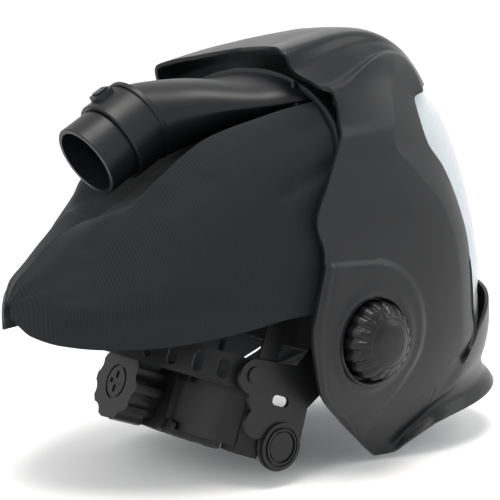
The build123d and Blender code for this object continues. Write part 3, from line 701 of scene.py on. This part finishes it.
def window_edge(z):
    """Y of the window's side edge at a height."""
    rows = SHELL_ROWS[6:13]
    heights = np.array([row[5][2] for row in rows], float)[::-1]
    edges = np.array([row[5][1] for row in rows], float)[::-1]
    return smooth_through(heights, edges, z)


def visor_surface(u, v):
    low, high = VISOR_HEIGHTS
    z = low + (high - low) * v
    wide, front, length = level_sizes(z)
    tuck = VISOR_TUCK * (ease(102, 126, z) + 0.7 * ease(-14, -40, z))
    wide = wide - VISOR_SIDE_INSET
    deep = length - VISOR_FRONT_INSET - tuck
    middle = front + length
    edge = np.minimum(window_edge(z) + VISOR_LAP, middle - 2)
    start = np.arcsin(np.clip((middle - edge) / deep, 0, 1) ** (FORM_POWER / 2))
    angle = start + (math.pi - 2 * start) * u
    cos_part = np.abs(np.cos(angle)) ** (2 / FORM_POWER) * np.sign(np.cos(angle))
    sin_part = np.abs(np.sin(angle)) ** (2 / FORM_POWER)
    return np.stack([-wide * cos_part, middle - deep * sin_part, z], axis=1)


def build_visor(material):
    visor = placed_grid("visor_sheet", 150, 100, visor_surface)
    face_out(visor)
    modify(visor, "SOLIDIFY", thickness=sizes().visor_wall, offset=-1, use_even_offset=False)
    smooth(visor, 40)
    place_piece(visor, "helmet", "visor_clear", material, "visor", "visor_gasket",
                "visor_frame")


# ---------------------------------------------------------------- duct and seal frame
def duct_surface(u, v):
    """u round the section, v from the front to the collar."""
    knots = DUCT_STATIONS[:, 0]
    y = knots[0] + (knots[-1] - knots[0]) * v
    z, lean, wide, top, low, sharp = smooth_through(knots, DUCT_STATIONS[:, 1:], y).T
    angle = u * 2 * math.pi
    across = np.sin(angle)
    upright = np.cos(angle)
    x = wide * np.sign(across) * np.abs(across) ** (2 / np.where(upright < 0, sharp, 2.05))
    tall = np.where(upright < 0, low, top)
    rise = tall * np.sign(upright) * np.abs(upright) ** (2 / np.where(upright < 0, sharp, 2.05))
    return np.stack([x, y + rise * np.sin(lean), z + rise * np.cos(lean)], axis=1)


def build_duct(material):
    duct = placed_grid("duct_skin", 144, 110, duct_surface)
    weld(duct)
    modify(duct, "SOLIDIFY", thickness=sizes().duct_wall, offset=-1, use_even_offset=False)
    out = Vector(SPIGOT_OUT)
    ring = lathe("ring", RING_PROFILE, tuple(Vector(SPIGOT_END) - out * RING_ALONG), tuple(out))
    join(duct, ring)
    smooth(duct, 40)
    place_piece(duct, "helmet", "duct_black", material, "duct_cover", "duct_floor",
                "duct_brackets")


def arch_point(share):
    """Points of the seal arch from the right cheek (-1) over the top to the left (1)."""
    knots = np.linspace(0, 1, len(SEAL_ARCH))
    half = smooth_through(knots, SEAL_ARCH, np.abs(share))
    return half[:, 0] * -np.sign(share), half[:, 1]


def seal_surface(u, v):
    """A flanged strip swept along the arch: u along it, v round its section."""
    share = u * 2 - 1
    x, z = arch_point(share)
    x1, z1 = arch_point(np.clip(share + 0.004, -1, 1))
    x0, z0 = arch_point(np.clip(share - 0.004, -1, 1))
    length = np.hypot(x1 - x0, z1 - z0)
    out_x = -(z1 - z0) / length
    out_z = (x1 - x0) / length
    corners = np.arange(len(SEAL_SECTION))
    place = np.interp(v, np.linspace(0, 1, len(SEAL_SECTION)), corners)
    out = np.interp(place, corners, SEAL_SECTION[:, 0])
    along = np.interp(place, corners, SEAL_SECTION[:, 1])
    return np.stack([x + out_x * out, SEAL_Y + along, z + out_z * out], axis=1)


def small_block(name, centre, size, lean):
    """A rounded block of hard plastic, in mm."""
    deselect()
    bpy.ops.mesh.primitive_cube_add(size=1, location=[value * MM for value in centre],
                                    rotation=(0, lean, 0))
    block = bpy.context.object
    block.name = name
    block.scale = [value * MM for value in size]
    bpy.ops.object.transform_apply(location=True, rotation=True, scale=True)
    modify(block, "BEVEL", width=1.0 * MM, segments=3)
    return block


def build_seal(material):
    seal = placed_grid("seal_flange", 160, 6, seal_surface)
    weld(seal, close=True)
    modify(seal, "BEVEL", width=0.0006, segments=2, limit_method="ANGLE",
           angle_limit=math.radians(40))
    smooth(seal, 40)
    place_piece(seal, "helmet", "frame_black", material, "seal_frame")
    hooks = None
    for side in (-1, 1):
        post = small_block("hooks", (side * 70, 15.6, 116), (3.4, 3.6, 17), side * 0.12)
        toe = small_block("toe", (side * 73.5, 16.4, 108.5), (9, 4.6, 3.4), side * 0.3)
        join(post, toe)
        hooks = post if hooks is None else hooks
        if hooks is not post:
            join(hooks, post)
    smooth(hooks, 40)
    place_piece(hooks, "helmet", "frame_black", material, "frame_clips")


class DuctBuild(bpy.types.Operator):
    """Build the air duct that runs from the hose collar in under the crown"""
    bl_idname = "respirator.duct"
    bl_label = "Air duct"

    def execute(self, context):
        build_duct(finish("duct_black"))
        return {"FINISHED"}


class SealBuild(bpy.types.Operator):
    """Build the arch that the hood hangs from, with its hooks"""
    bl_idname = "respirator.seal"
    bl_label = "Seal frame"

    def execute(self, context):
        build_seal(finish("frame_black"))
        return {"FINISHED"}


# ---------------------------------------------------------------- tension knobs
KNOB_LOBES = 18
# The knob's profile from its foot to the middle of its face, as (radius, X)
KNOB_PROFILE = [
    (6.8, 112.8), (27.0, 112.8), (27.9, 114.0), (28.1, 121.0), (27.4, 124.5), (24.8, 129.5),
    (21.0, 132.8), (17.8, 134.4), (16.6, 134.5), (15.4, 135.2), (12.0, 136.3), (6.0, 136.9),
    (0.01, 137.0),
]
KNOB_SCALLOP = 2.0        # depth of the finger grooves


def build_knob(side, name, material):
    profile = np.array(KNOB_PROFILE)
    start = np.linspace(0, 1, len(profile))

    def place(u, v):
        turn = u * 2 * math.pi
        radius = np.interp(v, start, profile[:, 0])
        out = np.interp(v, start, profile[:, 1])
        lobe = (0.5 - 0.5 * np.cos(turn * KNOB_LOBES)) ** 2.2
        grip = ease(112, 116, out) * ease(17.2, 23.5, radius)
        radius = radius - KNOB_SCALLOP * lobe * grip
        return np.stack([side * out, PIVOT[0] + radius * np.cos(turn),
                         PIVOT[1] + radius * np.sin(turn)], axis=1)

    knob = placed_grid("grip_" + name, KNOB_LOBES * 16, (len(profile) - 1) * 4, place)
    weld(knob, 0.000015, close=True)
    smooth(knob, 50)
    place_piece(knob, "knob_" + name, "knob_black", material, "tension_knob_" + name)


class KnobBuild(bpy.types.Operator):
    """Build the two scalloped knobs that set the pivots' friction"""
    bl_idname = "respirator.knobs"
    bl_label = "Tension knobs"

    def execute(self, context):
        build_knob(-1, "right", finish("knob_black"))
        build_knob(1, "left", finish("knob_black"))
        return {"FINISHED"}


# ---------------------------------------------------------------- hood
def hood_surface(u, v):
    """u over the top from the right lower edge to the left, v from the front to the rear."""
    knots = np.array([station[0] for station in HOOD_STATIONS], float)
    table = np.array([station[1:] for station in HOOD_STATIONS], float)
    y = knots[0] + (knots[-1] - knots[0]) * (1 - (1 - v) ** 1.5)
    spots = smooth_through(knots, table.reshape(len(knots), -1), y).reshape(-1, 6, 2)
    along = np.abs(u * 2 - 1)
    x = np.zeros_like(y)
    z = np.zeros_like(y)
    for index in range(6):
        weight = bell_weight(along, index)
        x += weight * spots[:, index, 0]
        z += weight * spots[:, index, 1]
    fold = fold_depth(y, z, u)
    side = np.where(u > 0.5, 1.0, -1.0)
    tilt = np.arctan2(np.maximum(x, 1.0), np.maximum(z + 60, 1.0))
    return np.stack([side * (x + fold * np.sin(tilt)), y, z + fold * np.cos(tilt)], axis=1)


def bell_weight(along, index):
    """How much one of the six places counts, smooth and adding up to one."""
    basis = np.zeros(6)
    basis[index] = 1.0
    fine = np.linspace(0, 1, 401)
    return np.interp(along, fine, catmull(HOOD_STOPS, basis, fine))


def catmull(knots, values, at):
    """A smooth curve through points with averaged slopes, level at the first."""
    slopes = np.gradient(values, knots)
    slopes[0] = 0.0
    index = np.clip(np.searchsorted(knots, at, side="right") - 1, 0, len(knots) - 2)
    span = knots[index + 1] - knots[index]
    return cubic(values, slopes, index, span, (at - knots[index]) / span)


def fold_depth(y, z, u):
    """Soft folds of the cloth, in mm."""
    depth = np.zeros_like(y)
    for (y0, z0), (y1, z1), wide, height in HOOD_FOLDS:
        dy = y1 - y0
        dz = z1 - z0
        part = np.clip(((y - y0) * dy + (z - z0) * dz) / (dy * dy + dz * dz), 0, 1)
        gap = np.hypot(y - y0 - part * dy, z - z0 - part * dz)
        depth += height * np.exp(-(gap / wide) ** 2)
    waves = np.sin(u * 46 + y * 0.045) * 0.4 + np.sin(u * 27 - y * 0.06 + 1.3) * 0.5
    return depth + waves * ease(0.0, 40.0, y)


def build_hood(material):
    hood = placed_grid("hood_cloth", 190, 150, hood_surface)
    face_out(hood)
    modify(hood, "SOLIDIFY", thickness=sizes().hood_cloth, offset=-1, use_even_offset=False)
    smooth(hood, 60)
    place_piece(hood, "helmet", "hood_fabric", material, "hood", "hood_hem")


# ---------------------------------------------------------------- stage
CAMERA_AZIMUTH = 232.666
CAMERA_ELEVATION = 5.356
CAMERA_DISTANCE = 0.8191
CAMERA_LENS = 76.67
SENSOR = 36.0


def build_camera():
    turn = math.radians(CAMERA_AZIMUTH)
    tilt = math.radians(CAMERA_ELEVATION)
    back = Vector((math.sin(turn) * math.cos(tilt), -math.cos(turn) * math.cos(tilt),
                   math.sin(tilt)))
    data = bpy.data.cameras.new("camera")
    data.lens = CAMERA_LENS
    data.sensor_width = SENSOR
    data.clip_start = 0.02
    camera = bpy.data.objects.new("camera", data)
    bpy.context.scene.collection.objects.link(camera)
    camera.location = back * CAMERA_DISTANCE
    camera.rotation_euler = (-back).to_track_quat("-Z", "Y").to_euler()
    bpy.context.scene.camera = camera


def add_light(name, place, size, watts, colour=(1, 1, 1)):
    """An area light that points at the middle of the head."""
    data = bpy.data.lights.new(name, "AREA")
    data.shape = "RECTANGLE"
    data.size = size[0]
    data.size_y = size[1]
    data.energy = watts
    data.color = colour
    lamp = bpy.data.objects.new(name, data)
    bpy.context.scene.collection.objects.link(lamp)
    lamp.location = place
    lamp.rotation_euler = (-Vector(place)).to_track_quat("-Z", "Y").to_euler()


def build_stage():
    deselect()
    floor_z = CAD_BOX[0][2] - 0.0005
    bpy.ops.mesh.primitive_plane_add(size=12, location=(0, 0, floor_z))
    floor = bpy.context.object
    floor.name = "floor"
    bpy.ops.object.transform_apply(location=True, rotation=True, scale=True)
    paint = Paint("floor_white")
    soft = paint.noise(3.0, 2.0)
    floor.data.materials.append(paint.surface(
        base_color=paint.blend(soft, (0.93, 0.93, 0.93), (0.96, 0.96, 0.96)),
        roughness=soft * 0.1 + 0.6))
    world = bpy.data.worlds.new("studio")
    bpy.context.scene.world = world
    world.use_nodes = True
    world.node_tree.nodes["Background"].inputs["Color"].default_value = (1, 1, 1, 1)
    world.node_tree.nodes["Background"].inputs["Strength"].default_value = 1.08
    bpy.context.scene.view_settings.view_transform = "Standard"
    add_light("key", (-0.5, 0.35, 1.85), (0.9, 0.9), 30.0, (1.0, 0.97, 0.94))
    add_light("front_fill", (-1.3, -1.5, 0.9), (0.6, 1.2), 7.0)
    add_light("rear_fill", (-0.6, 1.8, 0.9), (0.8, 0.8), 6.0)


class StageBuild(bpy.types.Operator):
    """Add the floor, the lights and the camera"""
    bl_idname = "respirator.stage"
    bl_label = "Stage"

    def execute(self, context):
        build_camera()
        build_stage()
        return {"FINISHED"}


# ---------------------------------------------------------------- finishes
FINISHES = {}


def finish(slot):
    """The finish of a material slot, made once."""
    if slot not in FINISHES:
        colours = bpy.context.scene.respirator_colours
        makers = {
            "shell_black": lambda: moulded_plastic(slot, tuple(colours.shell), 0.34),
            "frame_black": lambda: moulded_plastic(slot, tuple(colours.frame), 0.42),
            "duct_black": lambda: moulded_plastic(slot, tuple(colours.frame), 0.40),
            "gear_black": lambda: moulded_plastic(slot, tuple(colours.gear), 0.38),
            "knob_black": lambda: moulded_plastic(slot, tuple(colours.gear), 0.30),
            "visor_clear": lambda: clear_plastic(slot, tuple(colours.visor)),
            "gasket_rubber": lambda: rubber(slot, tuple(colours.gasket)),
            "hood_fabric": lambda: hood_cloth(slot, tuple(colours.hood)),
            "pad_fabric": lambda: pad_cloth(slot, tuple(colours.pad)),
            "insert_brass": lambda: metal(slot, (0.62, 0.45, 0.20), 0.25),
            "bolt_steel": lambda: metal(slot, (0.55, 0.56, 0.57), 0.22),
        }
        FINISHES[slot] = makers[slot]()
    return FINISHES[slot]


def length_setting(name, description, default):
    """A length in metres that the sidebar shows and the operators read."""
    return bpy.props.FloatProperty(name=name, description=description, default=default,
                                   min=0.0, max=0.02, precision=4, unit="LENGTH",
                                   subtype="DISTANCE")


class RespiratorSizes(bpy.types.PropertyGroup):
    """Sizes of the respirator's parts"""
    shell_wall: length_setting("Shell wall", "Thickness of the helmet shell", 0.003)
    chin_wall: length_setting("Chin wall", "Thickness of the chin guard", 0.0028)
    visor_wall: length_setting("Visor wall", "Thickness of the clear visor", 0.0022)
    duct_wall: length_setting("Duct wall", "Thickness of the air duct", 0.0022)
    hood_cloth: length_setting("Hood cloth", "Thickness of the hood's cloth", 0.0016)
    pad_swell: length_setting("Pad swell", "How far the pads swell at most", 0.0022)


def sizes():
    """The settings that the build functions read."""
    return bpy.context.scene.respirator_sizes


class RespiratorColours(bpy.types.PropertyGroup):
    """Colours of the respirator's parts"""
    shell: bpy.props.FloatVectorProperty(
        name="Shell", description="Colour of the helmet shell", subtype="COLOR",
        default=(0.0060, 0.0066, 0.0078), min=0, max=1)
    frame: bpy.props.FloatVectorProperty(
        name="Duct and frames", description="Colour of the duct and frames", subtype="COLOR",
        default=(0.0052, 0.0058, 0.0070), min=0, max=1)
    gear: bpy.props.FloatVectorProperty(
        name="Headgear", description="Colour of the headgear and knobs", subtype="COLOR",
        default=(0.0045, 0.0047, 0.0052), min=0, max=1)
    visor: bpy.props.FloatVectorProperty(
        name="Visor", description="Tint of the clear visor", subtype="COLOR",
        default=(0.78, 0.81, 0.83), min=0, max=1)
    gasket: bpy.props.FloatVectorProperty(
        name="Gasket", description="Colour of the rubber round the visor", subtype="COLOR",
        default=(0.006, 0.006, 0.006), min=0, max=1)
    hood: bpy.props.FloatVectorProperty(
        name="Hood", description="Colour of the hood's cloth", subtype="COLOR",
        default=(0.0075, 0.0088, 0.0100), min=0, max=1)
    pad: bpy.props.FloatVectorProperty(
        name="Pads", description="Colour of the sweatband and nape pad", subtype="COLOR",
        default=(0.010, 0.010, 0.011), min=0, max=1)


class ShellBuild(bpy.types.Operator):
    """Build the helmet's shell with its ridges, side bosses and pivot recesses"""
    bl_idname = "respirator.shell"
    bl_label = "Helmet shell"

    def execute(self, context):
        build_shell(finish("shell_black"))
        return {"FINISHED"}


class ChinBuild(bpy.types.Operator):
    """Build the chin guard with its flared lower lip"""
    bl_idname = "respirator.chin"
    bl_label = "Chin guard"

    def execute(self, context):
        build_chin(finish("shell_black"))
        return {"FINISHED"}


class VisorBuild(bpy.types.Operator):
    """Build the clear wrap-round visor"""
    bl_idname = "respirator.visor"
    bl_label = "Visor"

    def execute(self, context):
        build_visor(finish("visor_clear"))
        return {"FINISHED"}


class HoodBuild(bpy.types.Operator):
    """Build the cloth hood behind the helmet"""
    bl_idname = "respirator.hood"
    bl_label = "Hood"

    def execute(self, context):
        build_hood(finish("hood_fabric"))
        return {"FINISHED"}


PAD_VOXEL = 0.0028
PAD_PRESSURE = 3.0
SWELL_FRAMES = 20


def build_pad(node, body, name):
    """A swollen cloth pad grown from a CAD solid's shape."""
    source = frame["nodes"][node]
    deselect()
    piece = source.copy()
    piece.data = source.data.copy()
    for key in list(piece.keys()):
        del piece[key]
    piece.parent = None
    bpy.context.scene.collection.objects.link(piece)
    piece.name = name
    piece.data.name = name
    piece.hide_render = False
    weld(piece, 0.0001)
    piece.data.remesh_voxel_size = PAD_VOXEL
    bpy.ops.object.voxel_remesh()
    swell(piece, sizes().pad_swell)
    modify(piece, "SUBSURF", levels=1, render_levels=1)
    smooth(piece, 180)
    place_piece(piece, body, "pad_fabric", finish("pad_fabric"), node)


def swell(piece, cap):
    """Blow a closed cloth form up a little and cap how far each point goes."""
    count = len(piece.data.vertices)
    before = np.empty(count * 3)
    piece.data.vertices.foreach_get("co", before)
    choose(piece)
    modifier = piece.modifiers.new("Cloth", "CLOTH")
    settings = modifier.settings
    settings.use_pressure = True
    settings.uniform_pressure_force = PAD_PRESSURE
    settings.effector_weights.gravity = 0.0
    modifier.point_cache.frame_start = 1
    modifier.point_cache.frame_end = SWELL_FRAMES
    for step in range(1, SWELL_FRAMES + 1):
        bpy.context.scene.frame_set(step)
    bpy.ops.object.modifier_apply(modifier=modifier.name)
    bpy.context.scene.frame_set(1)
    after = np.empty(count * 3)
    piece.data.vertices.foreach_get("co", after)
    move = (after - before).reshape(-1, 3)
    size = np.linalg.norm(move, axis=1)
    move *= np.minimum(1.0, cap / np.maximum(size, 1e-9))[:, None]
    piece.data.vertices.foreach_set("co", (before.reshape(-1, 3) + move).ravel())
    piece.data.update()


class PadsBuild(bpy.types.Operator):
    """Build the sweatband and the nape pad"""
    bl_idname = "respirator.pads"
    bl_label = "Head pads"

    def execute(self, context):
        build_pad("sweatband", "headgear", "sweatband_cloth")
        build_pad("nape_pad", "headgear", "nape_pad_cloth")
        return {"FINISHED"}


class FinishParts(bpy.types.Operator):
    """Give the moulded and metal parts their finishes"""
    bl_idname = "respirator.parts"
    bl_label = "Moulded parts"

    def execute(self, context):
        for node in frame["nodes"].values():
            slot = node.data.materials[0].name.split(".")[0]
            node.material_slots[0].material = finish(slot)
        return {"FINISHED"}


class RespiratorPanel(bpy.types.Panel):
    """Sidebar panel that lists the respirator's pieces"""
    bl_label = "Respirator"
    bl_idname = "VIEW3D_PT_respirator"
    bl_space_type = "VIEW_3D"
    bl_region_type = "UI"
    bl_category = "Respirator"

    def draw(self, context):
        scene = context.scene
        for name in ("shell", "frame", "gear", "visor", "gasket", "hood", "pad"):
            self.layout.prop(scene.respirator_colours, name)
        for name in ("shell_wall", "chin_wall", "visor_wall", "duct_wall", "hood_cloth",
                     "pad_swell"):
            self.layout.prop(scene.respirator_sizes, name)
        for step in STEPS:
            self.layout.operator(step.bl_idname)


STEPS = (FinishParts, ShellBuild, ChinBuild, VisorBuild, DuctBuild, SealBuild, KnobBuild,
         HoodBuild, PadsBuild, StageBuild)
CLASSES = (RespiratorColours, RespiratorSizes) + STEPS + (RespiratorPanel,)


def register():
    for made in CLASSES:
        bpy.utils.register_class(made)
    bpy.types.Scene.respirator_colours = bpy.props.PointerProperty(type=RespiratorColours)
    bpy.types.Scene.respirator_sizes = bpy.props.PointerProperty(type=RespiratorSizes)


def unregister():
    del bpy.types.Scene.respirator_colours
    del bpy.types.Scene.respirator_sizes
    for made in reversed(CLASSES):
        bpy.utils.unregister_class(made)


def main():
    register()
    for step in STEPS:
        group, name = step.bl_idname.split(".")
        getattr(getattr(bpy.ops, group), name)()
    bpy.context.view_layer.update()


if __name__ == "__main__":
    main()
